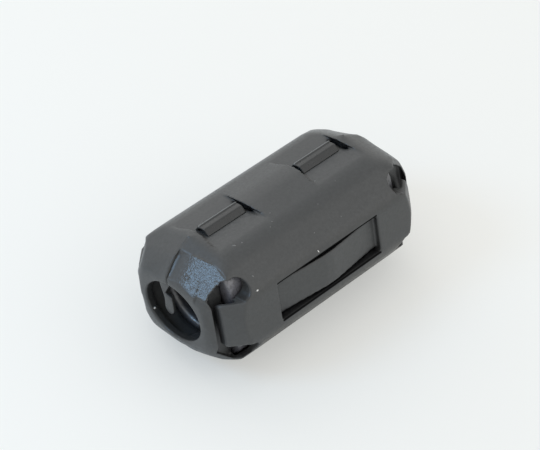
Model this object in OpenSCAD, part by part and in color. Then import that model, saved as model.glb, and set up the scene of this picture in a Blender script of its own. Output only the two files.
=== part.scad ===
// Clip-on ferrite bead for a round cable: two hinged half shells, each holding
// half of a ferrite sleeve. The cable runs along X through the origin. In the
// case's own frame the hinge straps are on top (+Z) and the halves part at
// Y = 0, the front half on -Y. The finished part is rolled about X, so that it
// lies on the sloping bottom face of its back half.

/* [Case] */
// Length of the closed case along the cable
case_length = 35; // [33:0.5:40]
// Width across the two flat side faces
case_width = 18.9; // [18.5:0.1:21]
// Height of the crown's crest above the cable's axis
crest_z = 8.575; // [8.5:0.025:9.5]
// Fall of the crown's two slopes away from the parting line, in degrees
roof_slope = 13; // [10:0.5:15]
// Half width of the crown before it turns down to the side
crown_half_width = 6.15; // [5.6:0.05:6.3]
// Half height at which the side face meets its sloping shoulders
side_face_half = 3.6; // [3.2:0.1:4]
// Rounding of the crown's crest, the keel, the shoulder and the side's edge
crest_round = 7; // [3:0.5:8]
keel_round = 3; // [1:0.5:4]
shoulder_round = 4.4; // [2:0.2:5]
side_round = 3; // [1:0.5:4]
// Gap between the two half shells where they meet
parting_gap = 0.04; // [0.02:0.02:0.2]

/* [End faces] */
// Half width and half height of the flat end face
end_half_width = 5.65; // [5.4:0.05:6.2]
end_half_height = 5.45; // [5.2:0.05:6]
// Radius that rounds off the end face's corners
end_corner_r = 6.5; // [6.2:0.1:7]
// Length of the side, corner and crown slopes that lead to the end face
side_slope_length = 3.1; // [2.6:0.1:3.3]
corner_slope_length = 4.1; // [3.5:0.05:4.4]
crown_slope_length = 4.5; // [4:0.1:5]
// Length and rise of the crown slope's steeper outer part
crown_step_length = 1.9; // [1.5:0.1:2.3]
crown_step_rise = 1.75; // [1.4:0.05:2]
// Thickness of the end wall around the cable hole
end_wall = 1.1; // [0.9:0.1:1.4]
// Radius of the chamber between the end wall and the ferrite
chamber_r = 5.1; // [4.9:0.05:5.3]

/* [Cable hole] */
// Radius of the cable hole through the end walls and the ferrite
hole_r = 4.4; // [3.8:0.05:4.4]
// Width of the rounded-off edge at its mouth
mouth_edge = 0.15; // [0.1:0.05:0.4]

/* [Ferrite] */
// Distance of the closed ferrite sleeve's ends from the end faces
core_inset = 3.5; // [3.3:0.1:4.5]
// Height and width of the sleeve
core_height = 13.2; // [12.6:0.1:13.4]
core_width = 14.4; // [13.6:0.1:14.6]
// Rounding of its long outer edges
core_round = 3; // [1.5:0.25:4]
// Chamfer at the ends of its bore
core_bore_chamfer = 0.4; // [0.2:0.1:0.6]
// Clearance around the ferrite in the shell
core_clearance = 0.15; // [0.05:0.05:0.2]

/* [Spring window] */
// Length and height of the window in each side face
window_length = 17; // [14:0.5:18]
window_height = 5.24; // [4.6:0.02:5.6]
// Slit along the long edges of the spring leaf
leaf_slit = 0.38; // [0.25:0.01:0.5]
// Thickness of the leaf
leaf_wall = 0.8; // [0.6:0.05:1]
// Depth of the leaf's ends below the side face
leaf_depth = 0.78; // [0.5:0.02:0.9]
// Length of the flat stretch at each end of the leaf
leaf_foot = 1.1; // [0.6:0.1:2]
// Width of the rib that presses the ferrite
leaf_rib = 1.2; // [0.8:0.1:2]

/* [End tongues] */
// Half height of the tongue that clips the ferrite's end
tongue_half = 3.1; // [2.8:0.05:3.2]
// Wall of the tongue, measured along Y
tongue_wall = 1.5; // [1.2:0.1:1.8]
// Distance of its tip from the end face, and width of the slit before it
tongue_inset = 1.5; // [1.3:0.1:1.7]
tongue_slit = 0.6; // [0.4:0.05:0.65]
// Rounding of its corners
tongue_round = 0.45; // [0.2:0.05:0.8]
// Distance from the parting plane to the floor under the tongue
tongue_floor = 5.7; // [5.5:0.05:5.9]
// Radius of the corner pockets beside the tongue
pocket_r = 1.25; // [1.1:0.05:1.35]
// Slit between a pocket and the tongue's edge
pocket_slit = 0.15; // [0.1:0.01:0.25]
// Distance of the pocket's centre from the end face
pocket_inset = 4.1; // [3.9:0.1:4.3]
// Height and length of the barb that hooks over the ferrite's end
barb_half = 1.5; // [1:0.1:2.5]
barb_length = 0.9; // [0.6:0.1:1.1]

/* [Hinge] */
// Distance of each strap's middle from the nearer end face
strap_inset = 9.5; // [9:0.1:10.5]
// Length, width and wall of a strap, and its height over the recess floor
strap_length = 6.2; // [4:0.1:6.4]
strap_width = 2.6; // [2.2:0.1:3]
strap_wall = 0.3; // [0.25:0.01:0.4]
strap_rise = 0.8; // [0.7:0.05:0.9]
// Width of its flat top
strap_top = 1.1; // [0.8:0.1:1.6]
// Room for the strap towards the middle and towards the end of the case
recess_inner = 0.3; // [0.2:0.1:1]
recess_outer = 0.7; // [0.2:0.1:1]
// Depth of the strap's recess below the crest
recess_depth = 0.82; // [0.7:0.02:0.9]
// How far the recess's ends lean in under the crown
recess_undercut = 0.6; // [0:0.05:0.7]
// Half length of the slot through the wall under each of those ends
recess_slot_half = 3; // [1.5:0.1:3.2]

/* [Latch] */
// Distance of each hook's middle from the nearer end face
hook_inset = 9.3; // [8.5:0.1:10]
// Length of a hook along X
hook_length = 4.6; // [3:0.1:5.5]
// Thickness of its arm
hook_wall = 0.75; // [0.6:0.05:0.8]
// Reach into the back half and root in the front half
hook_reach = 2.7; // [2.4:0.1:3]
hook_root = 2.4; // [1.5:0.1:3]
// Distance of the catch face behind the parting plane
catch_reach = 1.3; // [1.1:0.1:1.5]
// Height of the barb over the arm
barb_rise = 0.55; // [0.4:0.05:0.6]
// Clearance around a hook
hook_clearance = 0.1; // [0.05:0.05:0.15]

/* [Hidden] */
$fn = 96;

CASE_COLOUR = "#3c3d40";
CORE_COLOUR = "#26272b";

half_l = case_length / 2;
half_w = case_width / 2;
// Apex where the two crown slopes would meet without their rounding
apex_z = crest_z + crest_round * (1 / cos(roof_slope) - 1);
shoulder_z = apex_z - crown_half_width * tan(roof_slope);
// Anything this far out is clear of the case
outside = case_width;
// Cuts run past the faces they open by this much
past = 1;

core_half_l = half_l - core_inset;
cavity_half_l = core_half_l + core_clearance;
cavity_half_w = core_width / 2 + core_clearance;
cavity_half_h = core_height / 2 + core_clearance;
cavity_round = core_round + core_clearance;
core_gap = 0.02;

floor_z = crest_z - recess_depth;
tip_x = half_l - tongue_inset;
slit_x = tip_x + tongue_slit;
pocket_x = half_l - pocket_inset;
pocket_z = tongue_half + pocket_slit + pocket_r;
pocket_top = pocket_z + pocket_r;
// Inner face of the tongue, where the side face ends and at x beyond it
tongue_bend_x = half_l - side_slope_length;
tongue_inner_y = half_w - tongue_wall;
side_slope = (half_w - end_half_width) / side_slope_length;
function tongue_inner(x) = max(tongue_floor, tongue_inner_y - (x - tongue_bend_x) * side_slope);

strap_offset = half_l - strap_inset;
hook_offset = half_l - hook_inset;
hook_z = -cavity_half_h - hook_clearance;

// Unit vector along v
function unit(v) = v / norm(v);

// What a rounding of radius r removes from the corner p between a and b
module corner_waste(a, p, b, r) {
    u = unit(a - p);
    v = unit(b - p);
    half_angle = acos(u * v) / 2;
    middle = unit(u + v);
    centre = p + middle * r / sin(half_angle);
    run = r / tan(half_angle);
    difference() {
        polygon([p - middle * past, p + u * run, centre, p + v * run]);
        translate(centre) circle(r = r);
    }
}

// Polygon with each corner rounded by its own radius
module rounded_polygon(points, radii) {
    n = len(points);
    difference() {
        polygon(points);
        for (i = [0 : n - 1])
            corner_waste(points[(i + n - 1) % n], points[i], points[(i + 1) % n], radii[i]);
    }
}

// Rectangle centred on the origin, rounded at its corners
module rounded_rectangle(half_x, half_y, r) {
    rounded_polygon([[half_x, half_y], [-half_x, half_y], [-half_x, -half_y], [half_x, -half_y]],
                    [r, r, r, r]);
}

// Extrusions whose outline lies across, beside and above the case
module along_x(from_x, to_x) {
    translate([from_x, 0, 0]) rotate([90, 0, 90]) linear_extrude(to_x - from_x) children();
}

module along_y(from_y, to_y) {
    translate([0, to_y, 0]) rotate([90, 0, 0]) linear_extrude(to_y - from_y) children();
}

module along_z(from_z, to_z) {
    translate([0, 0, from_z]) linear_extrude(to_z - from_z) children();
}

module both_ends() {
    children();
    mirror([1, 0, 0]) children();
}

// Everything on the front half's side of the parting plane
module front_side(gap) {
    translate([-outside, -2 * outside - gap / 2, -outside])
        cube([2 * outside, 2 * outside, 2 * outside]);
}

// Cross-section: flat sides, sloping shoulders and a roofed crown and keel
module case_section() {
    right = [[crown_half_width, shoulder_z], [half_w, side_face_half],
             [half_w, -side_face_half], [crown_half_width, -shoulder_z]];
    radii = [shoulder_round, side_round, side_round, shoulder_round];
    left = [for (p = right) -p];
    rounded_polygon(concat([[0, apex_z]], right, [[0, -apex_z]], left),
                    concat([crest_round], radii, [keel_round], radii));
}

// Side view: the crown's slopes run down to the end faces in two steps.
// Heights are square to the roof, at the parting line.
module crown_profile() {
    step_x = half_l - crown_step_length;
    step_h = (end_half_height + crown_step_rise) * cos(roof_slope);
    end_h = end_half_height * cos(roof_slope);
    fall = (crest_z * cos(roof_slope) - step_h) / (crown_slope_length - crown_step_length);
    high_x = step_x - (outside - step_h) / fall;
    right = [[high_x, outside], [step_x, step_h], [half_l, end_h],
             [half_l, -end_h], [step_x, -step_h], [high_x, -outside]];
    for (flip = [0, 1])
        mirror([flip, 0]) polygon(concat(right, [[-past, -outside], [-past, outside]]));
}

// The slopes fall away from the parting line as the crown does
module crown_slopes() {
    intersection_for (tilt = [-roof_slope, roof_slope])
        rotate([tilt, 0, 0]) along_y(-2 * outside, 2 * outside) crown_profile();
}

// Top view: the side faces slope in to the end faces
module side_slopes() {
    high_x = half_l - (outside - end_half_width) / side_slope;
    right = [[high_x, outside], [half_l, end_half_width],
             [half_l, -end_half_width], [high_x, -outside]];
    for (flip = [0, 1])
        mirror([flip, 0]) polygon(concat(right, [[-past, -outside], [-past, outside]]));
}

// Turned envelope that rounds off the four corners towards each end
module corner_cones() {
    full_r = norm([half_w, side_face_half]);
    rotate([0, 90, 0]) rotate_extrude()
        polygon([[0, -half_l], [end_corner_r, -half_l], [full_r, corner_slope_length - half_l],
                 [full_r, half_l - corner_slope_length], [end_corner_r, half_l], [0, half_l]]);
}

module case_block() {
    intersection() {
        along_x(-half_l, half_l) case_section();
        crown_slopes();
        along_z(-outside, outside) side_slopes();
        corner_cones();
    }
}

// Room for the ferrite, the chamber behind each end wall and the space
// behind each tongue in which it can bend
module cavity() {
    along_x(-cavity_half_l, cavity_half_l)
        rounded_rectangle(cavity_half_w, cavity_half_h, cavity_round);
    rotate([0, 90, 0]) cylinder(h = case_length - 2 * end_wall, r = chamber_r, center = true);
    both_ends() along_z(-tongue_half, tongue_half)
        polygon([[core_half_l, -tongue_floor], [slit_x, -tongue_floor], [slit_x, -tongue_inner(slit_x)],
                 [tongue_bend_x, -tongue_inner_y], [core_half_l, -tongue_inner_y]]);
}

// Cable hole with the edge of each mouth taken off
module cable_hole() {
    rotate([0, 90, 0]) {
        cylinder(h = case_length + 2 * past, r = hole_r, center = true);
        for (flip = [0, 1])
            mirror([0, 0, flip]) translate([0, 0, half_l - mouth_edge])
                cylinder(h = mouth_edge, r1 = hole_r, r2 = hole_r + mouth_edge);
    }
}

// Slit and corner pockets that free a tongue at one end, in side view
module tongue_cut() {
    difference() {
        union() {
            polygon([[pocket_x, pocket_top], [tip_x - pocket_r, pocket_top],
                     [slit_x, pocket_z - tongue_round], [slit_x, tongue_round - pocket_z],
                     [tip_x - pocket_r, -pocket_top], [pocket_x, -pocket_top]]);
            for (s = [-1, 1])
                translate([pocket_x, s * pocket_z]) circle(r = pocket_r);
        }
        tongue_outline();
    }
}

// The tongue in side view, from the side face to its rounded tip
module tongue_outline() {
    root_x = pocket_x - 2 * pocket_r;
    rounded_polygon([[tip_x, tongue_half], [root_x, tongue_half],
                     [root_x, -tongue_half], [tip_x, -tongue_half]],
                    [tongue_round, tongue_round, tongue_round, tongue_round]);
}

// Barb inside a tongue's root that hooks over the end of the ferrite
module end_barb() {
    along_z(-barb_half, barb_half)
        polygon([[cavity_half_l, -tongue_inner_y - tongue_wall / 2],
                 [cavity_half_l, -core_width / 2 + barb_length],
                 [cavity_half_l + barb_length, -tongue_inner_y + barb_length / 2],
                 [cavity_half_l + barb_length, -tongue_inner_y - tongue_wall / 2]]);
}

// Spring leaf in top view: its flat feet lie deep, and it bows out to the face
module leaf_bow() {
    bend_x = window_length / 2 - leaf_foot;
    // The feet are rooted in the wall
    end_x = window_length / 2 + leaf_wall;
    low = -half_w + leaf_depth;
    top = -half_w;
    polygon([[-end_x, low], [-bend_x, low], [-leaf_rib / 2, top], [leaf_rib / 2, top],
             [bend_x, low], [end_x, low],
             [end_x, low + leaf_wall], [bend_x, low + leaf_wall],
             [leaf_rib / 2, top + leaf_wall], [-leaf_rib / 2, top + leaf_wall],
             [-bend_x, low + leaf_wall], [-end_x, low + leaf_wall]]);
}

module spring_leaf() {
    leaf_half = window_height / 2 - leaf_slit;
    along_z(-leaf_half, leaf_half) {
        leaf_bow();
        translate([-leaf_rib / 2, -half_w + leaf_wall / 2])
            square([leaf_rib, half_w - leaf_wall / 2 - core_width / 2]);
    }
}

// Recess for a hinge strap, cut level across the crown; its ends lean in
// under the crown, over a slot that opens through the wall and narrows
// with the lip above it
module strap_recess() {
    inner_x = strap_offset - strap_length / 2 - recess_inner;
    outer_x = strap_offset + strap_length / 2 + recess_outer;
    along_y(-outside, outside)
        polygon([[inner_x, outside], [inner_x, crest_z], [inner_x - recess_undercut, floor_z],
                 [outer_x + recess_undercut, floor_z], [outer_x, crest_z], [outer_x, outside]]);
    for (slot = [[inner_x, inner_x - recess_undercut], [outer_x, outer_x + recess_undercut]])
        linear_extrude(floor_z)
            polygon([[slot[0], 0], [slot[1], -recess_slot_half], [slot[1], recess_slot_half]]);
}

// One half of the case with its leaf and tongues, on the -Y side
module half_case() {
    difference() {
        intersection() {
            case_block();
            front_side(parting_gap);
        }
        cavity();
        cable_hole();
        both_ends() strap_recess();
        along_y(-outside, -core_width / 4)
            square([window_length, window_height], center = true);
        along_y(-outside, -tongue_floor)
            both_ends_flat() tongue_cut();
    }
    spring_leaf();
    intersection() {
        case_block();
        difference() {
            both_ends() end_barb();
            along_x(-cavity_half_l, cavity_half_l)
                rounded_rectangle(cavity_half_w, cavity_half_h, cavity_round);
        }
    }
}

module both_ends_flat() {
    children();
    mirror([1, 0]) children();
}

// Pocket for a hook's arm under the keel's wall, from y0 to y1
module arm_pocket(y0, y1, room) {
    for (s = [-1, 1])
        translate([s * hook_offset - hook_length / 2 - room, y0, hook_z - hook_wall - room])
            cube([hook_length + 2 * room, y1 - y0, hook_wall + 2 * room + hook_clearance]);
}

module front_shell() {
    color(CASE_COLOUR) rest()
        difference() {
            half_case();
            arm_pocket(-hook_root, past, 0);
        }
}

module back_shell() {
    color(CASE_COLOUR) rest()
        difference() {
            mirror([0, 1, 0]) half_case();
            arm_pocket(-past, hook_reach + 2 * hook_clearance, hook_clearance);
            for (s = [-1, 1])
                translate([s * hook_offset - hook_length / 2 - hook_clearance,
                           catch_reach - hook_clearance, -outside])
                    cube([hook_length + 2 * hook_clearance,
                          hook_reach - catch_reach + 2 * hook_clearance, outside + hook_z]);
        }
}

// Hook on the front half: an arm that reaches under the back half's keel wall,
// with a barb that stands in the catch window
module latch_hook(x) {
    low = hook_z - hook_wall;
    rise_y = hook_reach - barb_rise;
    color(CASE_COLOUR) rest()
        along_x(x - hook_length / 2, x + hook_length / 2)
            polygon([[-hook_root, hook_z], [-hook_root, low], [catch_reach, low],
                     [catch_reach, low - barb_rise], [rise_y - barb_rise, low - barb_rise],
                     [hook_reach, low], [hook_reach, hook_z]]);
}

// Folded living-hinge strap: a flat-topped loop whose feet stand on the two
// halves, each on its side of the parting plane
module hinge_strap(x) {
    foot = strap_width / 2;
    top = strap_top / 2;
    run = (foot - top) / strap_rise;
    // Wall of the sloping flanks, measured along Y
    flank = strap_wall * norm([1, run]);
    under = strap_rise - strap_wall;
    color(CASE_COLOUR) rest()
        along_x(x - strap_length / 2, x + strap_length / 2) translate([0, floor_z])
            polygon([[-foot, 0], [-top, strap_rise], [top, strap_rise], [foot, 0],
                     [foot - flank, 0], [foot - flank - under * run, under],
                     [flank + under * run - foot, under], [flank - foot, 0]]);
}

// Half of the ferrite sleeve, on the -Y side
module half_core() {
    difference() {
        intersection() {
            along_x(-core_half_l, core_half_l)
                rounded_rectangle(core_width / 2, core_height / 2, core_round);
            front_side(core_gap);
        }
        rotate([0, 90, 0]) {
            cylinder(h = 2 * (core_half_l + past), r = hole_r, center = true);
            for (flip = [0, 1])
                mirror([0, 0, flip]) translate([0, 0, core_half_l - core_bore_chamfer])
                    cylinder(h = core_bore_chamfer, r1 = hole_r, r2 = hole_r + core_bore_chamfer);
        }
    }
}

module front_core() {
    color(CORE_COLOUR) rest() half_core();
}

module back_core() {
    color(CORE_COLOUR) rest() mirror([0, 1, 0]) half_core();
}

// The case lies on the back half's keel slope
module rest() {
    rotate([-roof_slope, 0, 0]) children();
}

front_shell();
back_shell();
hinge_strap(-strap_offset);  // hinge_strap_near
hinge_strap(strap_offset);  // hinge_strap_far
latch_hook(-hook_offset);  // latch_hook_near
latch_hook(hook_offset);  // latch_hook_far
front_core();
back_core();
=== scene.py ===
"""Clip-on ferrite bead: two sprung half shells that close round a cable, dressed for rendering."""

import math

import bmesh
import bpy
import numpy as np
from mathutils import Matrix, Vector
from mathutils.bvhtree import BVHTree


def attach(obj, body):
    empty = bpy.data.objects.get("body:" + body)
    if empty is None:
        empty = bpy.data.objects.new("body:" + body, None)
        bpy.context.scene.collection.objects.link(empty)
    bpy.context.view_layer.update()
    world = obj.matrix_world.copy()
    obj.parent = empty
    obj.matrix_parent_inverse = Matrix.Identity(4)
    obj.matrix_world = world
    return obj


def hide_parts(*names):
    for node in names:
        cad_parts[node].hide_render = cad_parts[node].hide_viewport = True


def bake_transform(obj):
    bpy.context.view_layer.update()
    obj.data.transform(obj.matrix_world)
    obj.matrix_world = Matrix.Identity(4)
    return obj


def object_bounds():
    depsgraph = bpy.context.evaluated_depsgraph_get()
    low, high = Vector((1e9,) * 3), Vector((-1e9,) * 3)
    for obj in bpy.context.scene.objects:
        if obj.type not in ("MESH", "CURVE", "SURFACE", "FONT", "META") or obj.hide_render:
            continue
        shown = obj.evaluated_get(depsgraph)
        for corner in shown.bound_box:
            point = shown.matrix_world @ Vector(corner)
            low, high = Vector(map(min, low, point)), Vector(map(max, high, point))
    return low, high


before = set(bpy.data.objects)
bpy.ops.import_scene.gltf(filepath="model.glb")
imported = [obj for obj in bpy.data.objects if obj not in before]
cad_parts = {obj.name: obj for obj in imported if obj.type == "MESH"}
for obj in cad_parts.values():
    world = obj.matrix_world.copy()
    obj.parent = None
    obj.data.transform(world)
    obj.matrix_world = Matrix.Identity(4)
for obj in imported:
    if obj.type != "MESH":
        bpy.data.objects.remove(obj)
CAD_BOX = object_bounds()

bl_info = {
    "name": "Clip-on ferrite bead",
    "version": (1, 0, 0),
    "blender": (4, 5, 0),
    "location": "3D View > Sidebar > Ferrite bead",
    "description": "Moulded half shells, ferrite sleeve, hinge straps, latch hooks and cable grips",
    "category": "Object",
}

MM = 0.001

# The case is lofted round an upright parting plane, and lies on its keel's
# back facet, rolled over by the slope of that roof
ROOF_SLOPE = math.radians(13)
UPRIGHT_TO_LAID = Matrix.Rotation(-ROOF_SLOPE, 4, "X")

# Sizes are in mm on the upright case, unless their comment says metres.
# Gap left between the two halves where they meet flush
SEAM_GAP = 0.004
# The ridge along a strap's top, behind the parting line, which takes a painted glint
RIDGE = 0.46
# How much wider and lower the cable's mouth is at the end face than the bore
MOUTH = (1.09, 0.89)
BORE_RADIUS = 4.4
# Middle of a pocket from the middle of the case, along and up, and its radius
POCKET = (13.4, 4.5)
POCKET_RADIUS = 1.25
# The slit at a tongue's tip: from, to, and half its height
SLIT = (16.0, 16.6, 4.4)
# The tongues' slits lie further out than this
SLIT_Y = 5
# Half the length and half the height of a side window
WINDOW_HALF = (8.5, 2.62)
# Width of the slit along a window's leaf, whose shade is painted, and how far out it starts
CLOSED_SLIT = 0.30
CLOSED_SLIT_Y = 8.7
# Width of the slits that the painted crevice shade darkens, in metres
CREVICE = 0.0018
FRONT, BACK = "front_half", "back_half"


def laid(x, y, z):
    """Where a point of the upright case, in mm, is once the case lies down, in metres."""
    return UPRIGHT_TO_LAID @ Vector((x, y, z)) * MM


def laid_direction(x, y, z):
    return (UPRIGHT_TO_LAID.to_3x3() @ Vector((x, y, z))).normalized()


# --- meshes ---------------------------------------------------------------


def points_of(mesh):
    co = np.empty(len(mesh.vertices) * 3)
    mesh.vertices.foreach_get("co", co)
    return co.reshape(-1, 3)


def set_points(mesh, co):
    mesh.vertices.foreach_set("co", np.ascontiguousarray(co, np.float32).ravel())
    mesh.update()


def normals_of(mesh):
    no = np.empty(len(mesh.vertices) * 3)
    mesh.vertices.foreach_get("normal", no)
    return no.reshape(-1, 3)


def edges_of(mesh):
    pairs = np.empty(len(mesh.edges) * 2, np.int64)
    mesh.edges.foreach_get("vertices", pairs)
    return pairs.reshape(-1, 2)


def relax(co, pairs, weight, rounds):
    """Moves each point towards the mean of its neighbours, by its weight."""
    count = len(co)
    pairs = pairs[(weight[pairs] > 0).any(axis=1)]
    valence = np.maximum(np.bincount(pairs.ravel(), minlength=count), 1)
    for _ in range(rounds):
        mean = np.empty_like(co)
        for axis in range(co.shape[1]):
            column = co[:, axis]
            mean[:, axis] = (
                np.bincount(pairs[:, 0], column[pairs[:, 1]], count)
                + np.bincount(pairs[:, 1], column[pairs[:, 0]], count)
            ) / valence
        co = co + (mean - co) * (0.5 * weight)[:, None]
    return co


def apply_modifiers(piece):
    evaluated = piece.evaluated_get(bpy.context.evaluated_depsgraph_get())
    mesh = bpy.data.meshes.new_from_object(evaluated)
    piece.modifiers.clear()
    old, piece.data = piece.data, mesh
    bpy.data.meshes.remove(old)
    return mesh


def add_piece(name, mesh):
    piece = bpy.data.objects.new(name, mesh)
    bpy.context.scene.collection.objects.link(piece)
    return piece


def smooth_shade(mesh):
    mesh.polygons.foreach_set("use_smooth", [True] * len(mesh.polygons))
    mesh.update()


def keep_values(mesh, name, values):
    kept = mesh.attributes.new(name, "FLOAT", "POINT")
    kept.data.foreach_set("value", values.astype(np.float32))


WELD = 1e-4
# A point that smoothing moves by this many voxels lies right on an edge
EDGE_MOVE = 0.7
# Faces that meet at more than this are shaded as a sharp edge
CREASE = math.radians(60)


def softened_copy(
    node, name, voxel, rounds, shape=None, crisp=None, keep=1.0, hollows=None, glint_at=None
):
    """A CAD node's skin as it comes out of the mould: every edge rounded off a little.

    It is worked on upright and in mm, as an even mesh of voxels. crisp(points)
    is 1 where an edge stays sharp, shape(points, normals, pairs) may round some
    stretches further, and keep is the share of the faces that stays. The points
    keep these values:
    - "edge" is 1 on a softened edge, where a highlight is painted, and more
      where glint_at(points) says that a brighter glint is painted
    - "hollow" is 1 where hollows(points) says that shade is painted inside
    - "flat" is 1 on the flat of the near corner
    - "upright" is the place on the upright case
    """
    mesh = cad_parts[node].data.copy()
    mesh.materials.clear()
    mesh.transform(UPRIGHT_TO_LAID.inverted() @ Matrix.Scale(1 / MM, 4))
    welded = bmesh.new()
    welded.from_mesh(mesh)
    bmesh.ops.remove_doubles(welded, verts=welded.verts, dist=WELD)
    welded.to_mesh(mesh)
    welded.free()
    piece = add_piece(name, mesh)
    remesh = piece.modifiers.new("Even skin", "REMESH")
    remesh.mode = "VOXEL"
    remesh.voxel_size = voxel
    mesh = apply_modifiers(piece)
    sharp = points_of(mesh)
    pairs = edges_of(mesh)
    soft = 1 - crisp(sharp) if crisp else np.ones(len(sharp))
    co = relax(sharp, pairs, soft, rounds)
    moved = np.linalg.norm(co - sharp, axis=1)
    if shape:
        set_points(mesh, co)
        co = shape(co, normals_of(mesh), pairs)
    if crisp:
        co = close_seam(co, sharp)
    set_points(mesh, co)
    dark = hollows(sharp) if hollows else np.zeros(len(sharp))
    glint = glint_at(sharp) if glint_at else 0
    # Softened edges take a painted highlight and a strap's ridge a brighter painted glint;
    # painted-shade hollows take none
    keep_values(mesh, "edge", np.clip(moved / (EDGE_MOVE * voxel), 0, 1) * (1 - dark) + glint)
    keep_values(mesh, "hollow", dark)
    upright = mesh.attributes.new("upright", "FLOAT_VECTOR", "POINT")
    upright.data.foreach_set("vector", co.astype(np.float32).ravel())
    keep_values(mesh, "flat", on_corner_flat(co, normals_of(mesh)))
    if keep < 1:
        thin = piece.modifiers.new("Fewer faces", "DECIMATE")
        thin.ratio = keep
        mesh = apply_modifiers(piece)
    mesh.transform(UPRIGHT_TO_LAID @ Matrix.Scale(MM, 4))
    smooth_shade(mesh)
    mesh.set_sharp_from_angle(angle=CREASE)
    return piece


def ramp(value, low, high):
    """Runs smoothly from 0 at low to 1 at high."""
    t = np.clip((value - low) / (high - low), 0, 1)
    return t * t * (3 - 2 * t)


# --- materials ------------------------------------------------------------


class Nodes:
    """Short hand for building a node tree."""

    def __init__(self, name, slot_colour):
        self.material = bpy.data.materials.new(name)
        self.material.use_nodes = True
        self.material.diffuse_color = (*slot_colour[:3], 1)
        self.tree = self.material.node_tree
        self.shader = self.tree.nodes["Principled BSDF"]

    def add(self, kind, **inputs):
        node = self.tree.nodes.new(kind)
        for key, value in inputs.items():
            if hasattr(node, key):
                setattr(node, key, value)
            else:
                node.inputs[key.replace("_", " ")].default_value = value
        return node

    def link(self, source, target):
        self.tree.links.new(source, target)

    def place(self):
        return self.add("ShaderNodeTexCoord").outputs["Object"]

    def noise(self, size, detail=2.0, roughness=0.5):
        """Noise whose grains are about size metres wide."""
        node = self.add("ShaderNodeTexNoise", Scale=1 / size, Detail=detail, Roughness=roughness)
        self.link(self.place(), node.inputs["Vector"])
        return node.outputs["Fac"]

    def levels(self, source, low, high, to_low=0.0, to_high=1.0):
        """Maps low to to_low and high to to_high, and no further."""
        node = self.add("ShaderNodeMapRange")
        ends = {"From Min": low, "From Max": high, "To Min": to_low, "To Max": to_high}
        for key, value in ends.items():
            node.inputs[key].default_value = value
        self.link(source, node.inputs["Value"])
        return node.outputs["Result"]

    def feed(self, socket, value):
        """Sets a socket to a number, or links another socket to it."""
        if hasattr(value, "links"):
            self.link(value, socket)
        else:
            socket.default_value = value

    def blend(self, factor, first, second):
        """Mixes two colours, each a colour or a socket."""
        node = self.add("ShaderNodeMix")
        node.data_type = "RGBA"
        for socket, value in ((node.inputs[6], first), (node.inputs[7], second)):
            if hasattr(value, "links"):
                self.link(value, socket)
            else:
                socket.default_value = (*value[:3], 1)
        self.link(factor, node.inputs[0])
        return node.outputs[2]

    def combine(self, operation, first, second=0):
        node = self.add("ShaderNodeMath")
        node.operation = operation
        for socket, value in zip(node.inputs, (first, second)):
            self.feed(socket, value)
        return node.outputs[0]

    def kept(self, name):
        """A value kept at the points of the mesh."""
        return self.add("ShaderNodeAttribute", attribute_name=name).outputs["Fac"]

    def mixed(self, factor, first, second):
        """Mixes two numbers, each a number or a socket."""
        node = self.add("ShaderNodeMix")
        for index, value in ((0, factor), (2, first), (3, second)):
            self.feed(node.inputs[index], value)
        return node.outputs[0]

    def painted_slit_shade(self):
        """1 on the thin slits along a window's leaf, as wide as CLOSED_SLIT, where their shade is
        painted.
        """
        half_length, half_height = WINDOW_HALF
        upright = self.add("ShaderNodeAttribute", attribute_name="upright")
        split = self.add("ShaderNodeSeparateXYZ")
        self.link(upright.outputs["Vector"], split.inputs["Vector"])
        x, y, z = (self.combine("ABSOLUTE", value) for value in split.outputs)
        off = self.combine("SUBTRACT", z, half_height + CLOSED_SLIT / 2)
        # Full in the middle of the slit, and gone just past its sides
        off = self.combine("ABSOLUTE", off)
        line = self.levels(off, CLOSED_SLIT * 0.3, CLOSED_SLIT * 0.6, 1, 0)
        on_side = self.combine("GREATER_THAN", y, CLOSED_SLIT_Y)
        beside_leaf = self.combine("LESS_THAN", x, half_length)
        return self.combine("MULTIPLY", line, self.combine("MULTIPLY", on_side, beside_leaf))

    def crevice_shaded(self, colour):
        """The colour, with shade painted in where the slits and hollows of a piece are shut in from
        the light.
        """
        open_air = self.add(
            "ShaderNodeAmbientOcclusion", only_local=True, samples=8, Distance=CREVICE
        )
        # Painted shade: the less open to the air, the darker
        unshaded = self.levels(open_air.outputs["AO"], *OPEN_AIR)
        return self.blend(unshaded, CREVICE_SHADE, colour)

    def relief(self, height, depth, strength=1.0):
        node = self.add("ShaderNodeBump", Strength=strength, Distance=depth)
        self.link(height, node.inputs["Height"])
        self.link(node.outputs["Normal"], self.shader.inputs["Normal"])


def tint(colour, factor):
    return tuple(c * factor for c in colour[:3])


# How open to the air the skin is where the painted crevice shade is full, and where there is none
OPEN_AIR = (0.4, 0.88)
# Colour of the painted crevice shade
CREVICE_SHADE = (0.008, 0.008, 0.009)
# How light the plastic's clouds and specks, its softened edges and ridges with their painted
# highlights, and its hollows and closed slits with their painted shade are against its own colour
CLOUDS, SPECKS = (0.94, 1.05), 0.80
EDGE_HIGHLIGHT_TINT, RIDGE_GLINT_TINT, HOLLOW_SHADE_TINT, SLIT_SHADE_TINT = 1.8, 6, 0.5, 0.12
# How much of the painted edge highlight a softened edge takes
EDGE_SHARE = 0.8
# Width of the clouds in metres
CLOUD_SIZE = 0.006
# Depth of the relief in metres, and how much of it the grain and the pits of the
# near corner's flat have
RELIEF, FINE_DEPTH, PIT_DEPTH = 0.00002, 0.5, 3.0
FLAT_ROUGHNESS = 0.2
PLASTIC_IOR, FERRITE_IOR = 1.5, 2.0
# How light the ferrite's pits, its ground face and its bore, where shade is painted, are
# against its own colour, how rough the first two are, and the relief's depth in metres
PIT_TINT, GROUND_TINT, BORE_SHADE_TINT = 0.6, 1.1, 0.25
PIT_ROUGHNESS, GROUND_ROUGHNESS = 0.6, 0.36
FERRITE_RELIEF = 0.00003


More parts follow.
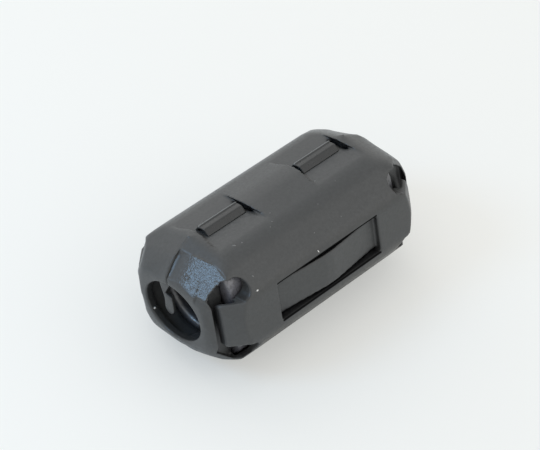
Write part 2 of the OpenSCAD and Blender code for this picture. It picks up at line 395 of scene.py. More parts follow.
def moulded_plastic(name, colour, gloss, grain, windows=False):
    """Charcoal plastic with the fine spark-eroded grain of its mould.

    windows paints the shade of the thin slits along the side windows' leaves.
    """
    m = Nodes(name, colour)
    cloud = m.levels(m.noise(CLOUD_SIZE, 3), 0.35, 0.65)
    speck = m.levels(m.noise(grain * 1.6, 2, 0.7), 0.30, 0.72)
    base = m.blend(cloud, tint(colour, CLOUDS[0]), tint(colour, CLOUDS[1]))
    base = m.blend(speck, tint(colour, SPECKS), base)
    edge = m.kept("edge")
    # Painted highlight along softened edges, and a brighter painted glint on the straps' ridges
    base = m.blend(m.levels(edge, 0.4, 1.0, 0, EDGE_SHARE), base, tint(colour, EDGE_HIGHLIGHT_TINT))
    base = m.blend(m.levels(edge, 1.2, 2.0), base, tint(colour, RIDGE_GLINT_TINT))
    # Painted shade in the bore, the pockets and the slits
    base = m.blend(m.kept("hollow"), base, tint(colour, HOLLOW_SHADE_TINT))
    if windows:
        # Painted shade along the slits beside the windows' leaves
        slit = m.painted_slit_shade()
        base = m.blend(slit, base, tint(colour, SLIT_SHADE_TINT))
        # No light glances off a slit: its shade is painted dark and without gloss
        m.link(m.levels(slit, 0, 1, 0.5, 0), m.shader.inputs["Specular IOR Level"])
    m.link(m.crevice_shaded(base), m.shader.inputs["Base Color"])
    # The flat of the near corner is smoother, and pitted all over
    flat = m.kept("flat")
    rough = m.levels(m.noise(grain * 1.3, 2), 0.3, 0.7, gloss - 0.06, gloss + 0.08)
    m.link(m.mixed(flat, rough, FLAT_ROUGHNESS), m.shader.inputs["Roughness"])
    m.shader.inputs["IOR"].default_value = PLASTIC_IOR
    fine = m.combine("MULTIPLY", m.noise(grain, 2, 0.6), FINE_DEPTH)
    pitted = m.combine("MULTIPLY", m.noise(grain * 1.2, 2, 0.6), PIT_DEPTH)
    m.relief(m.mixed(flat, fine, pitted), RELIEF)
    return m.material


def sintered_ferrite(name, colour):
    """Dark grey ceramic, ground smooth, with the pits of its grain."""
    m = Nodes(name, colour)
    ground = m.levels(m.noise(0.0004, 4, 0.7), 0.38, 0.5)
    base = m.blend(ground, tint(colour, PIT_TINT), tint(colour, GROUND_TINT))
    # Painted shade in the ferrite's bore and where it shows in the far and low pockets
    base = m.blend(m.kept("hollow"), base, tint(colour, BORE_SHADE_TINT))
    m.link(base, m.shader.inputs["Base Color"])
    rough = m.levels(ground, 0, 1, PIT_ROUGHNESS, GROUND_ROUGHNESS)
    m.link(rough, m.shader.inputs["Roughness"])
    m.shader.inputs["IOR"].default_value = FERRITE_IOR
    m.relief(m.noise(0.0003, 4, 0.7), FERRITE_RELIEF, 0.4)
    return m.material


# --- settings -------------------------------------------------------------


class CaseSettings(bpy.types.PropertyGroup):
    plastic: bpy.props.FloatVectorProperty(
        name="Plastic",
        description="Colour of the moulded half shells",
        default=(0.056, 0.0575, 0.0575),
        subtype="COLOR",
        min=0,
        max=1,
    )
    gloss: bpy.props.FloatProperty(
        name="Roughness",
        description="How matt the moulded plastic is",
        default=0.36,
        min=0.1,
        max=1,
        subtype="FACTOR",
    )
    grain: bpy.props.FloatProperty(
        name="Grain",
        description="Width of the grains that the mould leaves in the plastic",
        default=0.00026,
        min=0.00005,
        max=0.001,
        unit="LENGTH",
        precision=5,
    )
    fineness: bpy.props.FloatProperty(
        name="Skin step",
        description="Step of the even skin laid over the shells, in millimetres",
        default=0.13,
        min=0.1,
        max=0.5,
    )


class SleeveSettings(bpy.types.PropertyGroup):
    ferrite: bpy.props.FloatVectorProperty(
        name="Ferrite",
        description="Colour of the sintered ferrite",
        default=(0.12, 0.12, 0.138),
        subtype="COLOR",
        min=0,
        max=1,
    )


class StudioSettings(bpy.types.PropertyGroup):
    backdrop: bpy.props.FloatVectorProperty(
        name="Backdrop",
        description="Colour that the camera sees behind the object",
        default=(0.896, 0.905, 0.880),
        subtype="COLOR",
        min=0,
        max=1,
    )
    lightened: bpy.props.FloatProperty(
        name="Lightened shadow",
        description="How much of the backdrop's colour the camera sees in the floor",
        default=0.40,
        min=0,
        max=1,
        subtype="FACTOR",
    )
    sky: bpy.props.FloatProperty(
        name="Sky",
        description="Strength of the soft light from all round",
        default=0.86,
        min=0,
        max=2,
    )
    overhead: bpy.props.FloatProperty(
        name="Overhead lamp",
        description="Power of the large lamp overhead",
        default=0.13,
        min=0,
        max=10,
        unit="POWER",
    )
    fill: bpy.props.FloatProperty(
        name="Fill lamp",
        description="Power of the large lamp low in front",
        default=0.145,
        min=0,
        max=10,
        unit="POWER",
    )
    blue: bpy.props.FloatProperty(
        name="Blue lamp",
        description="Power of the bluish lamp behind the near end",
        default=0.24,
        min=0,
        max=10,
        unit="POWER",
    )


# --- the case -------------------------------------------------------------


# The flat on the crown's near front corner: its direction, its distance from
# the middle of the case in mm, and its corners in x and z
FLAT = np.array((-0.652, -0.251, 0.716)) / np.linalg.norm((0.652, 0.251, 0.716))
FLAT_DISTANCE = 15.28
FLAT_CORNERS = (
    (-14.40, 7.50),
    (-13.90, 7.00),
    (-14.25, 5.90),
    (-15.80, 4.40),
    (-16.50, 3.90),
    (-16.95, 3.60),
    (-17.15, 3.95),
    (-17.30, 5.48),
    (-15.30, 7.30),
)
# Its gloss fades out between these distances from the parting line
FLAT_FADE = (0.4, 2.6)
# Towards the parting line it falls off, by the square of the way from here
FLAT_FALL, FLAT_FALL_FROM = 0.04, -3.6
# How steeply the skin may rise round the flat, how far round it is pressed
# down, and by how much at most
FLAT_SHOULDER, FLAT_REACH, FLAT_PRESS = 0.35, 3, 0.8
# The wall's thickness that stays below the flat
FLAT_WALL = 0.2
# The wall between the near corner and the pocket leans this far over it; the
# wall runs from the top of the slit to the pocket, given in x and z
POCKET_LEAN = 0.5
POCKET_WALL = np.array(((-16.6, 4.2), (-14.75, 5.75)))


def beyond_flat(co):
    """How far a point lies outside the flat's outline, in mm; less than 0 inside."""
    across = np.cross(FLAT, (0, 1, 0))
    across /= np.linalg.norm(across)
    along = np.cross(FLAT, across)
    corners = []
    for x, z in FLAT_CORNERS:
        y = (FLAT_DISTANCE - FLAT[0] * x - FLAT[2] * z) / FLAT[1]
        corners.append((np.dot((x, y, z), across), np.dot((x, y, z), along)))
    u, v = co @ across, co @ along
    nearest = np.full(len(co), np.inf)
    inside = np.zeros(len(co), bool)
    for (u0, v0), (u1, v1) in zip(corners, corners[1:] + corners[:1]):
        du, dv = u1 - u0, v1 - v0
        t = np.clip(((u - u0) * du + (v - v0) * dv) / (du * du + dv * dv), 0, 1)
        nearest = np.minimum(nearest, np.hypot(u - u0 - t * du, v - v0 - t * dv))
        crosses = (v0 > v) != (v1 > v)
        inside ^= crosses & (u < u0 + (v - v0) * du / (dv if dv else 1))
    return np.where(inside, -nearest, nearest)


def outwardness(co, normals):
    """Near 1 or more where the skin faces away from the middle of the case."""
    radial = np.hypot(co[:, 1], co[:, 2])
    return np.sign(co[:, 0]) * normals[:, 0] + (normals[:, 1:] * co[:, 1:]).sum(axis=1) / radial


def above_flat(co):
    """How far a point lies above the flat."""
    fall = FLAT_FALL * np.maximum(co[:, 1] - FLAT_FALL_FROM, 0) ** 2
    return co @ FLAT - FLAT_DISTANCE + fall


def on_corner_flat(co, normals):
    """1 on the near corner's flat, and 0 elsewhere."""
    height = np.abs(above_flat(co))
    glossy = ramp(-beyond_flat(co), -0.1, 0.15) * ramp(-co[:, 1], *FLAT_FADE)
    return glossy * (1 - ramp(height, 0.15, 0.4)) * ramp(normals @ FLAT, 0.8, 0.95)


def flatten_corner(co, normals, pairs):
    """Presses the near front corner on to its flat."""
    wall = POCKET_WALL[1] - POCKET_WALL[0]
    length = np.linalg.norm(wall)
    place = co[:, (0, 2)] - POCKET_WALL[0]
    along = np.clip(place @ wall / length**2, 0, 1)
    off = place @ np.array((wall[1], -wall[0])) / length
    lean = POCKET_LEAN * np.cos(math.pi / 2 * along)
    lean = lean * ramp(off, -1.2, -0.1) * (off < 0.25)
    lean *= ramp(co[:, 2], 3.0, 4.4)
    near = (co[:, 0] < 0) & (co[:, 1] < -4.6)
    co = co + np.outer(lean * near, (1, 0, 0))
    beyond, height = beyond_flat(co), above_flat(co)
    facing = ramp(outwardness(co, normals), -0.1, 0.25)
    press = np.minimum(height - FLAT_SHOULDER * np.maximum(beyond, 0), FLAT_PRESS)
    press = np.where(beyond > 0, np.maximum(press, 0), np.where(height > -0.5, press, 0))
    press *= facing * (beyond < FLAT_REACH) * (co[:, 1] < 0)
    press = relax(press[:, None], pairs, np.ones(len(co)), 3)[:, 0]
    inner = (facing < 0.1) & (height > -FLAT_WALL) & (beyond < 1) & (co[:, 1] < -1)
    return co - np.outer(press + np.where(inner, height + FLAT_WALL, 0), FLAT)


def crown_seam(co):
    """1 along the parting line where the two halves meet flush, 0 where it gapes at the ends."""
    x, y = np.abs(co[:, 0]), np.abs(co[:, 1])
    flush = np.where(co[:, 2] > 0, 1 - ramp(x, 15.3, 16.0), 1)
    return (1 - ramp(y, 0.15, 0.45)) * flush


def shell_painted_shade(co):
    """Painted shade: 1 in the bore and on the walls of the pockets and slits."""
    x, y, z = np.abs(co).T
    bore = 1 - ramp(np.hypot(y, z), BORE_RADIUS + 0.05, BORE_RADIUS + 0.2)
    from_pocket = np.hypot(x - POCKET[0], z - POCKET[1]) - POCKET_RADIUS
    pocket = 1 - ramp(from_pocket, 0.03, 0.15)
    start, end, half = SLIT
    slit = (x > start - 0.03) & (x < end + 0.03) & (z < half) & (y > SLIT_Y)
    return np.maximum.reduce([bore, pocket, slit])


# How dark the shade painted on the ferrite is where it shows in the far and the low pockets
POCKET_SHADE = 0.8


def sleeve_painted_shade(co):
    """Painted shade: 1 in the ferrite's bore, and a little less where it shows in the far and the
    low pockets.
    """
    bore = 1 - ramp(np.hypot(co[:, 1], co[:, 2]), 6.1, 6.4)
    shaded = POCKET_SHADE * ((co[:, 2] < -2) | (co[:, 0] > 6))
    return np.maximum(bore, shaded)


def shell_crisp(co):
    """1 at the seam and round the rim of the cable hole."""
    radial = np.hypot(co[:, 1], co[:, 2])
    rim = (1 - ramp(radial, 4.7, 5.0)) * ramp(np.abs(co[:, 0]), 16.8, 17.1)
    return np.maximum(crown_seam(co), rim)


# Where along the case the rounding sets in, and where it is full
ROUNDED = (11.5, 13.4)
# Rounds of smoothing towards the ends: of every corner, then of the far crown
# again, and of all that lies below the bore's middle again
ROUNDS, CROWN_ROUNDS, KEEL_ROUNDS = 60, 250, 150
# Where along the case the bore turns into the mouth, and how wide a ring round
# it follows
MOUTH_FROM, MOUTH_RING = (14.2, 16.6), (4.8, 6.6)


def end_rounding(co, normals, pairs):
    """Rounds the moulding's corners towards each end much more than its other edges."""
    x, y, z = np.abs(co).T
    radial = np.hypot(y, z)
    towards_end = ramp(x, *ROUNDED)
    clear_of_bore = ramp(radial, 4.9, 5.5)
    clear_of_seam = np.maximum(ramp(y, 0.35, 1.0), co[:, 2] < 0)
    clear_of_tongue = np.maximum.reduce(
        [ramp(z, 5.9, 7.0), 1 - ramp(y, 4.4, 5.4), ramp(x, 17.1, 17.3)]
    )
    outward = outwardness(co, normals) > 0.25
    weight = towards_end * clear_of_bore * clear_of_seam * clear_of_tongue * outward
    # A weight that changes from point to point would leave a ridge
    weight = np.clip(relax(weight[:, None], pairs, np.ones(len(co)), 4)[:, 0], 0, 1)
    co = relax(co, pairs, weight, ROUNDS)
    co = relax(co, pairs, weight * ((co[:, 2] > 0) & (co[:, 0] > 0)), CROWN_ROUNDS)
    co = relax(co, pairs, weight * (co[:, 2] < 0), KEEL_ROUNDS)
    # The cable's mouth is a little wider than it is high
    at_mouth = ramp(x, *MOUTH_FROM) * (1 - ramp(radial, *MOUTH_RING))
    co[:, 1] *= 1 + (MOUTH[0] - 1) * at_mouth
    co[:, 2] *= 1 + (MOUTH[1] - 1) * at_mouth
    return flatten_corner(co, normals, pairs)


def close_seam(co, sharp):
    """Brings the two halves' edges together where they meet flush."""
    flush = (np.abs(sharp[:, 1]) < 0.12) & (crown_seam(sharp) > 0.5)
    co[flush, 1] = np.sign(sharp[flush, 1]) * SEAM_GAP / 2
    crest = co[:, 2].max()
    co[flush & (co[:, 2] > crest - 0.15), 2] = crest
    return co


# Voxels in mm, rounds of smoothing and share of the faces kept, piece by piece
SHELL_ROUNDS, SHELL_KEPT = 3, 0.58
STRAP_VOXEL, STRAP_ROUNDS = 0.06, 12
HOOK_VOXEL, HOOK_ROUNDS = 0.08, 4
SLEEVE_VOXEL, SLEEVE_ROUNDS, SLEEVE_KEPT = 0.2, 12, 0.5
# How light the folded straps are against the shells, which is painted shade on the same plastic,
# and how much glossier
STRAP_TINT, STRAP_GLOSS = 0.55, 0.06


class FERRITE_OT_case_shells(bpy.types.Operator):
    """Lay a moulded skin with softened edges over each half shell"""

    bl_idname = "ferrite.case_shells"
    bl_label = "Half shells"

    def execute(self, context):
        case = context.scene.ferrite_case
        finish = moulded_plastic(
            "shell_plastic", case.plastic, case.gloss, case.grain, windows=True
        )
        for node, body in (("front_shell", FRONT), ("back_shell", BACK)):
            skin = softened_copy(
                node,
                node + "_skin",
                case.fineness,
                SHELL_ROUNDS,
                shape=end_rounding,
                crisp=shell_crisp,
                keep=SHELL_KEPT,
                hollows=shell_painted_shade,
            )
            skin.data.materials.append(finish)
            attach(skin, body)
            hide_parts(node)
        return {"FINISHED"}


def swell(y, middle, breadth):
    """1 at the middle, and close to 0 from twice the breadth away."""
    return np.exp(-(((y - middle) / breadth) ** 2))


def ridge_glint(co):
    """Marks the ridge on a strap's top for a painted glint."""
    return 3 * swell(co[:, 1], RIDGE, 0.08) * (co[:, 2] > 8.4)


def fold_ridge(co, normals, pairs):
    """Raises the ridge along the back of a strap's top, with a groove in front of it."""
    y, top = co[:, 1], normals[:, 2] > 0.2
    lift = 0.12 * swell(y, RIDGE, 0.10) - 0.05 * swell(y, RIDGE - 0.2, 0.08)
    co[:, 2] += lift * top
    return co


class FERRITE_OT_hinge_straps(bpy.types.Operator):
    """Round the folded straps"""

    bl_idname = "ferrite.hinge_straps"
    bl_label = "Hinge straps"

    def execute(self, context):
        case = context.scene.ferrite_case
        finish = moulded_plastic(
            "strap_plastic", tint(case.plastic, STRAP_TINT), case.gloss - STRAP_GLOSS, case.grain
        )
        for node in ("hinge_strap_near", "hinge_strap_far"):
            strap = softened_copy(
                node, node + "_moulding", STRAP_VOXEL, STRAP_ROUNDS, fold_ridge, glint_at=ridge_glint
            )
            strap.data.materials.append(finish)
            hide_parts(node)
            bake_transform(strap)
        return {"FINISHED"}


class FERRITE_OT_latch_hooks(bpy.types.Operator):
    """Round the latch hooks that stand on the front half"""

    bl_idname = "ferrite.latch_hooks"
    bl_label = "Latch hooks"

    def execute(self, context):
        case = context.scene.ferrite_case
        finish = moulded_plastic("hook_plastic", case.plastic, case.gloss, case.grain)
        for node in ("latch_hook_near", "latch_hook_far"):
            hook = softened_copy(node, node + "_moulding", HOOK_VOXEL, HOOK_ROUNDS)
            hook.data.materials.append(finish)
            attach(hook, FRONT)
            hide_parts(node)
        return {"FINISHED"}


class FERRITE_OT_sleeve(bpy.types.Operator):
    """Give the two ferrite halves their ground ceramic finish and broken edges"""

    bl_idname = "ferrite.sleeve"
    bl_label = "Ferrite sleeve"

    def execute(self, context):
        finish = sintered_ferrite("ground_ferrite", context.scene.ferrite_sleeve.ferrite)
        for node, body in (("front_core", FRONT), ("back_core", BACK)):
            half = softened_copy(
                node,
                node + "_ground",
                SLEEVE_VOXEL,
                SLEEVE_ROUNDS,
                keep=SLEEVE_KEPT,
                hollows=sleeve_painted_shade,
            )
            half.data.materials.append(finish)
            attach(half, body)
            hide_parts(node)
        return {"FINISHED"}


# --- cable fingers ---------------------------------------------------------

# Outline of the finger that hangs into the cable hole: height, and the two
# edges at that height, in mm, seen from the end of the case
FINGER_OUTLINE = (
    (4.60, 2.00, 0.02),
    (3.70, 1.92, 0.02),
    (2.95, 1.78, 0.55),
    (2.20, 1.62, 1.10),
    (2.02, 1.58, 0.80),
    (1.83, 1.54, 0.06),
    (1.15, 1.47, 0.03),
    (0.40, 1.58, 0.05),
    (-0.10, 1.66, 0.08),
    (-0.50, 1.56, 0.22),
    (-0.80, 1.36, 0.50),
    (-0.95, 1.15, 0.75),
)
# How far out the finger's face lies, how thick it is, and how far in its tip curls
FINGER_FACE = 17.25
FINGER_WALL = 0.36
FINGER_CURL = 0.35
# The height where the curl starts, and how far below it is full
CURL_FROM, CURL_RUN = 1.2, 2.15
# How far the curl carries the tip sideways and down
CURL_ACROSS, CURL_DOWN = 1.4, 0.9
# The fingers are the shells' plastic painted darker: painted shade in the mouths
FINGER_TINT = 0.65
FINGER_ROUNDING = 0.07


def cable_finger(name, end):
    """One flexible finger.

    end is -1 at the near end of the case, where it hangs from the back half,
    and 1 at the far end, where it hangs from the front half.
    """
    mesh = bpy.data.meshes.new(name)
    strip = bmesh.new()
    rings = []
    for height, outer, inner in FINGER_OUTLINE:
        curl = max(0.0, (CURL_FROM - height) / CURL_RUN) ** 2 * FINGER_CURL
        across = curl * CURL_ACROSS
        low = height - CURL_DOWN * across
        face = FINGER_FACE - curl
        back = FINGER_FACE - FINGER_WALL - curl
        section = ((face, outer), (face, inner), (back, inner), (back, outer))
        rings.append([strip.verts.new((end * x, -end * (y + across), low)) for x, y in section])
    for upper, lower in zip(rings, rings[1:]):
        for k in range(4):
            strip.faces.new((upper[k], upper[(k + 1) % 4], lower[(k + 1) % 4], lower[k]))
    strip.faces.new(rings[0])
    strip.faces.new(rings[-1])
    bmesh.ops.recalc_face_normals(strip, faces=strip.faces)
    strip.to_mesh(mesh)
    strip.free()
    finger = add_piece(name, mesh)
    rounding = finger.modifiers.new("Rounded edges", "BEVEL")
    rounding.width = FINGER_ROUNDING
    rounding.segments = 3
    rounding.limit_method = "ANGLE"
    mesh = apply_modifiers(finger)
    mesh.transform(UPRIGHT_TO_LAID @ Matrix.Scale(MM, 4))
    smooth_shade(mesh)
    return finger


class FERRITE_OT_cable_fingers(bpy.types.Operator):
    """Hang the flexible finger that steadies the cable in each mouth"""

    bl_idname = "ferrite.cable_fingers"
    bl_label = "Cable fingers"

    def execute(self, context):
        case = context.scene.ferrite_case
        finish = moulded_plastic(
            "finger_plastic", tint(case.plastic, FINGER_TINT), case.gloss, case.grain
        )
        ends = (("cable_finger_near", -1, BACK), ("cable_finger_far", 1, FRONT))
        for name, end, body in ends:
            finger = cable_finger(name, end)
            finger.data.materials.append(finish)
            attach(finger, body)
        return {"FINISHED"}


# --- traces of use ----------------------------------------------------------

# Flecks on the upright case: place in mm, length, breadth and turn
WHITE_FLECKS = (
    ((-1.43, -9.33, 3.30), 0.42, 0.13, 1.9),
    ((-11.43, -9.23, 3.59), 0.32, 0.20, 0.0),
    ((-17.02, 4.0, -1.55), 0.34, 0.26, 0.0),
)
GREY_FLECKS = (
    ((-3.44, -3.87, 7.87), 0.20, 0.14, 0.3),
    ((-5.03, -5.49, 7.42), 0.16, 0.13, 0.9),
    ((-4.27, -5.03, 7.59), 0.20, 0.13, 1.8),
    ((-0.64, -8.15, 5.07), 0.16, 0.12, 0.2),
    ((3.78, -8.27, 4.94), 0.15, 0.12, 1.1),
    ((-10.96, -8.24, 4.97), 0.30, 0.18, 2.2),
    ((-10.35, -4.88, 7.63), 0.50, 0.20, 2.4),
    ((-9.33, -5.14, 7.55), 0.22, 0.15, 1.0),
    ((2.10, -6.40, 7.05), 0.14, 0.10, 0.5),
    ((6.30, -5.20, 7.50), 0.13, 0.10, 2.0),
    ((4.60, -3.44, 7.76), 0.30, 0.24, 0.6),
)


WHITE_LINT, GREY_DUST = (0.75, 0.75, 0.73), (0.17, 0.17, 0.165)
# A fleck's thickness against its breadth, and how ragged its outline is
FLECK_THICKNESS, FLECK_RIPPLE = 0.25, 0.18


def nearest_on(skin, place):
    """The point of a skin nearest to a place, and the skin's direction there."""
    tree = BVHTree.FromObject(skin, bpy.context.evaluated_depsgraph_get())
    spot, normal, _, _ = tree.find_nearest(place)
    return spot, normal


def standing(spot, normal, turn=Matrix.Identity(4)):
    """Stands a shape on a skin, turned as given."""
    stand = normal.to_track_quat("Z", "Y").to_matrix().to_4x4() @ turn
    stand.translation = spot
    return stand


def fleck(name, skin, place, length, breadth, turn):
    """A flat fleck lying on the skin nearest to its place."""
    ball = bmesh.new()
    bmesh.ops.create_icosphere(ball, subdivisions=2, radius=0.5 * MM)
    for v in ball.verts:
        x, y, z = v.co
        ripple = 1 + FLECK_RIPPLE * math.sin(5 * math.atan2(y, x) + 7 * turn)
        v.co = Vector((x * length * ripple, y * breadth * ripple, z * FLECK_THICKNESS * breadth))
    mesh = bpy.data.meshes.new(name)
    ball.to_mesh(mesh)
    ball.free()
    mesh.transform(standing(*nearest_on(skin, laid(*place)), Matrix.Rotation(turn, 4, "Z")))
    smooth_shade(mesh)
    return add_piece(name, mesh)


def joined(name, parts):
    """One piece made of several meshes."""
    whole = bmesh.new()
    for part in parts:
        whole.from_mesh(part.data)
        mesh = part.data
        bpy.data.objects.remove(part)
        bpy.data.meshes.remove(mesh)
    mesh = bpy.data.meshes.new(name)
    whole.to_mesh(mesh)
    whole.free()
    smooth_shade(mesh)
    return add_piece(name, mesh)


def dust_finish(name, pale):
    """Dull fluff, a little uneven in colour."""
    m = Nodes(name, pale)
    fluff = m.blend(m.noise(0.0001, 3), tint(pale, 0.7), tint(pale, 1.2))
    m.link(fluff, m.shader.inputs["Base Color"])
    m.shader.inputs["Roughness"].default_value = 0.9
    return m.material


class FERRITE_OT_dust(bpy.types.Operator):
    """Scatter the few flecks of lint and dust that lie on the case"""

    bl_idname = "ferrite.dust"
    bl_label = "Dust"

    def execute(self, context):
        for name, rows, pale in (
            ("lint", WHITE_FLECKS, WHITE_LINT),
            ("dust", GREY_FLECKS, GREY_DUST),
        ):
            finish = dust_finish(name, pale)
            for half, body, side in (("front", FRONT, -1), ("back", BACK, 1)):
                own = [row for row in rows if row[0][1] * side > 0]
                if not own:
                    continue
                skin = bpy.data.objects[half + "_shell_skin"]
                flecks = [fleck(f"fleck_{k}", skin, *row) for k, row in enumerate(own)]
                scatter = joined(f"{name}_{half}", flecks)
                scatter.data.materials.append(finish)
                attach(scatter, body)
        return {"FINISHED"}


# The mould's mark: its place, the radius, breadth and height of its ring, and how
# uneven the ring is
MARK_PLACE = (-16.51, -2.61, 5.76)
MARK_RADIUS, MARK_BREADTH, MARK_HEIGHT = 0.29, 0.08, 0.06
MARK_UNEVEN = 0.25
MARK_TURNS, MARK_SIDES = 32, 10
# The mark is the shells' plastic painted lighter: a painted highlight on the raised ring
MARK_TINT = 1.1


def mark_ring(name):
    """The raised ring of the mould's mark, lying flat and in mm."""
    ring = bmesh.new()
    rows = []
    for i in range(MARK_TURNS):
        a = math.tau * i / MARK_TURNS
        lift = 1 + MARK_UNEVEN * math.sin(3 * a + 0.6)
        row = []
        for k in range(MARK_SIDES):
            b = math.tau * k / MARK_SIDES
            r = MARK_RADIUS + MARK_BREADTH * lift * math.cos(b)
            z = MARK_HEIGHT * lift * math.sin(b)
            row.append(ring.verts.new((r * math.cos(a), r * math.sin(a), z)))
        rows.append(row)
    for here, there in zip(rows, rows[1:] + rows[:1]):
        for k in range(MARK_SIDES):
            after = (k + 1) % MARK_SIDES
            ring.faces.new((here[k], there[k], there[after], here[after]))
    bmesh.ops.recalc_face_normals(ring, faces=ring.faces)
    mesh = bpy.data.meshes.new(name)
    ring.to_mesh(mesh)
    ring.free()
    return mesh


class FERRITE_OT_mould_mark(bpy.types.Operator):
    """Raise the small round mark of the mould on the near corner"""

    bl_idname = "ferrite.mould_mark"
    bl_label = "Mould mark"

    def execute(self, context):
        case = context.scene.ferrite_case
        skin = bpy.data.objects["front_shell_skin"]
        mesh = mark_ring("mould_mark")
        mesh.transform(standing(*nearest_on(skin, laid(*MARK_PLACE)), Matrix.Scale(MM, 4)))
        smooth_shade(mesh)
        mark = add_piece("mould_mark", mesh)
        mark.data.materials.append(
            moulded_plastic("mark_plastic", tint(case.plastic, MARK_TINT), case.gloss, case.grain)
        )
        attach(mark, FRONT)
        return {"FINISHED"}


# --- the studio -----------------------------------------------------------


CENTRE = laid(0, 0, 0)
# Each lamp: its place, what it faces, its width in metres and its colour
LAMPS = {
    "overhead": (laid(60, 190, 250), CENTRE, 0.30, (1.0, 0.99, 0.97)),
    "blue": (
        laid_direction(-0.669, 0.192, 0.719) * 0.30, laid(-14, 0, 4), 0.11, (0.38, 0.66, 1.0),
    ),
    "fill": (laid_direction(0.45, -0.82, 0.36) * 0.42, CENTRE, 0.34, (1.0, 0.985, 0.96)),
}
SKY_COLOUR = (1.0, 1.0, 0.985, 1)
FLOOR_COLOUR = (0.87, 0.875, 0.855, 1)
# In metres
FLOOR_RADIUS = 1.2
# The camera round the upright case: its heading, height and tilt in radians, how
# far away it is, and how far it is shifted to the right and up, in mm
HEADING, HEIGHT, TILT = -0.666290558, 0.609790032, -0.167487081
AWAY, RIGHT, UP = 257.300818, 0.892156506, -1.94886057
LENS, SENSOR = 138.51, 36


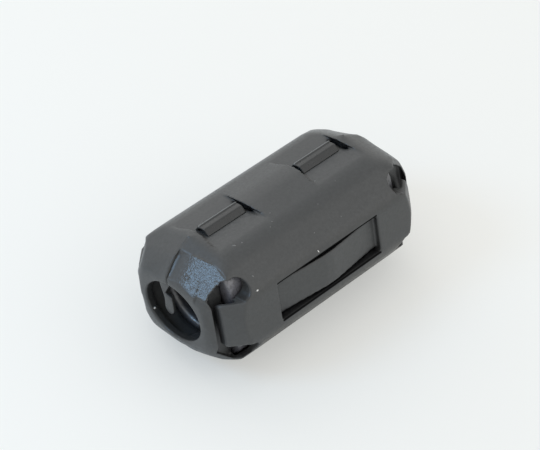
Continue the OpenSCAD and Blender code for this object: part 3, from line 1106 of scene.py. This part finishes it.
class FERRITE_OT_studio(bpy.types.Operator):
    """Set the floor, the soft lamps, the pale surroundings and the camera"""

    bl_idname = "ferrite.studio"
    bl_label = "Studio"

    def execute(self, context):
        studio = context.scene.ferrite_studio
        scene = context.scene
        scene.view_settings.view_transform = "Standard"
        self.floor(studio)
        self.surroundings(scene, studio)
        for name, (place, target, size, colour) in LAMPS.items():
            self.lamp(scene, name, place, target, size, getattr(studio, name), colour)
        self.camera(scene)
        return {"FINISHED"}

    def floor(self, studio):
        """A pale disc, which looks a little lighter to the camera than it is."""
        lowest = CAD_BOX[0].z
        mesh = bpy.data.meshes.new("floor")
        disc = bmesh.new()
        bmesh.ops.create_circle(disc, cap_ends=True, radius=FLOOR_RADIUS, segments=96)
        disc.to_mesh(mesh)
        disc.free()
        floor = add_piece("floor", mesh)
        floor.location.z = lowest
        m = Nodes("pale_floor", FLOOR_COLOUR)
        m.shader.inputs["Base Color"].default_value = FLOOR_COLOUR
        m.shader.inputs["Roughness"].default_value = 0.9
        m.shader.inputs["Specular IOR Level"].default_value = 0.2
        glow = m.add("ShaderNodeEmission")
        glow.inputs["Color"].default_value = (*studio.backdrop, 1)
        path = m.add("ShaderNodeLightPath")
        mix = m.add("ShaderNodeMixShader")
        m.link(m.levels(path.outputs["Is Camera Ray"], 0, 1, 0, studio.lightened), mix.inputs[0])
        m.link(m.shader.outputs[0], mix.inputs[1])
        m.link(glow.outputs[0], mix.inputs[2])
        m.link(mix.outputs[0], m.tree.nodes["Material Output"].inputs["Surface"])
        mesh.materials.append(m.material)

    def surroundings(self, scene, studio):
        """Soft light from all round; only the camera sees the backdrop's colour."""
        world = bpy.data.worlds.new("soft_surroundings")
        scene.world = world
        world.use_nodes = True
        tree = world.node_tree
        light = tree.nodes["Background"]
        light.inputs["Color"].default_value = SKY_COLOUR
        light.inputs["Strength"].default_value = studio.sky
        seen = tree.nodes.new("ShaderNodeBackground")
        seen.inputs["Color"].default_value = (*studio.backdrop, 1)
        path = tree.nodes.new("ShaderNodeLightPath")
        either = tree.nodes.new("ShaderNodeMath")
        either.operation = "MAXIMUM"
        tree.links.new(path.outputs["Is Camera Ray"], either.inputs[0])
        tree.links.new(path.outputs["Is Transmission Ray"], either.inputs[1])
        mix = tree.nodes.new("ShaderNodeMixShader")
        tree.links.new(either.outputs[0], mix.inputs[0])
        tree.links.new(light.outputs[0], mix.inputs[1])
        tree.links.new(seen.outputs[0], mix.inputs[2])
        tree.links.new(mix.outputs[0], tree.nodes["World Output"].inputs["Surface"])

    def lamp(self, scene, name, place, target, size, power, colour):
        """A round soft lamp that faces its target."""
        light = bpy.data.lights.new(name, "AREA")
        light.shape = "DISK"
        light.size = size
        light.energy = power
        light.color = colour
        lamp = bpy.data.objects.new(name, light)
        lamp.location = place
        lamp.rotation_euler = (place - target).to_track_quat("Z", "Y").to_euler()
        scene.collection.objects.link(lamp)

    def camera(self, scene):
        """Perspective camera, placed by its heading, height and tilt round the upright case."""
        back = Vector((
            math.cos(HEIGHT) * math.sin(HEADING),
            -math.cos(HEIGHT) * math.cos(HEADING),
            math.sin(HEIGHT),
        ))
        across = Vector((0, 0, 1)).cross(back).normalized()
        upward = back.cross(across)
        turned_across = math.cos(TILT) * across + math.sin(TILT) * upward
        turned_up = math.cos(TILT) * upward - math.sin(TILT) * across
        eye = back * AWAY - turned_across * RIGHT - turned_up * UP
        stand = Matrix((turned_across, turned_up, back)).transposed().to_4x4()
        stand.translation = eye * MM
        data = bpy.data.cameras.new("camera")
        data.sensor_width = SENSOR
        data.lens = LENS
        data.clip_start = 0.01
        data.clip_end = 10
        camera = bpy.data.objects.new("camera", data)
        camera.matrix_world = UPRIGHT_TO_LAID @ stand
        scene.collection.objects.link(camera)
        scene.camera = camera


# --- panel and registration -------------------------------------------------

STEPS = (
    FERRITE_OT_sleeve,
    FERRITE_OT_case_shells,
    FERRITE_OT_hinge_straps,
    FERRITE_OT_latch_hooks,
    FERRITE_OT_cable_fingers,
    FERRITE_OT_mould_mark,
    FERRITE_OT_dust,
    FERRITE_OT_studio,
)

SETTINGS = {
    "ferrite_case": CaseSettings,
    "ferrite_sleeve": SleeveSettings,
    "ferrite_studio": StudioSettings,
}


class FERRITE_PT_bead(bpy.types.Panel):
    """Sizes, colours and building steps of the ferrite bead"""

    bl_idname = "FERRITE_PT_bead"
    bl_label = "Ferrite bead"
    bl_space_type = "VIEW_3D"
    bl_region_type = "UI"
    bl_category = "Ferrite bead"

    def draw(self, context):
        for group, kind in SETTINGS.items():
            box = self.layout.box()
            for name in kind.__annotations__:
                box.prop(getattr(context.scene, group), name)
        for step in STEPS:
            self.layout.operator(step.bl_idname)


CLASSES = (*SETTINGS.values(), *STEPS, FERRITE_PT_bead)


def register():
    for kind in CLASSES:
        bpy.utils.register_class(kind)
    for group, kind in SETTINGS.items():
        setattr(bpy.types.Scene, group, bpy.props.PointerProperty(type=kind))


def unregister():
    for group in SETTINGS:
        delattr(bpy.types.Scene, group)
    for kind in reversed(CLASSES):
        bpy.utils.unregister_class(kind)


def main():
    register()
    for step in STEPS:
        area, name = step.bl_idname.split(".")
        getattr(getattr(bpy.ops, area), name)()


if __name__ == "__main__":
    main()
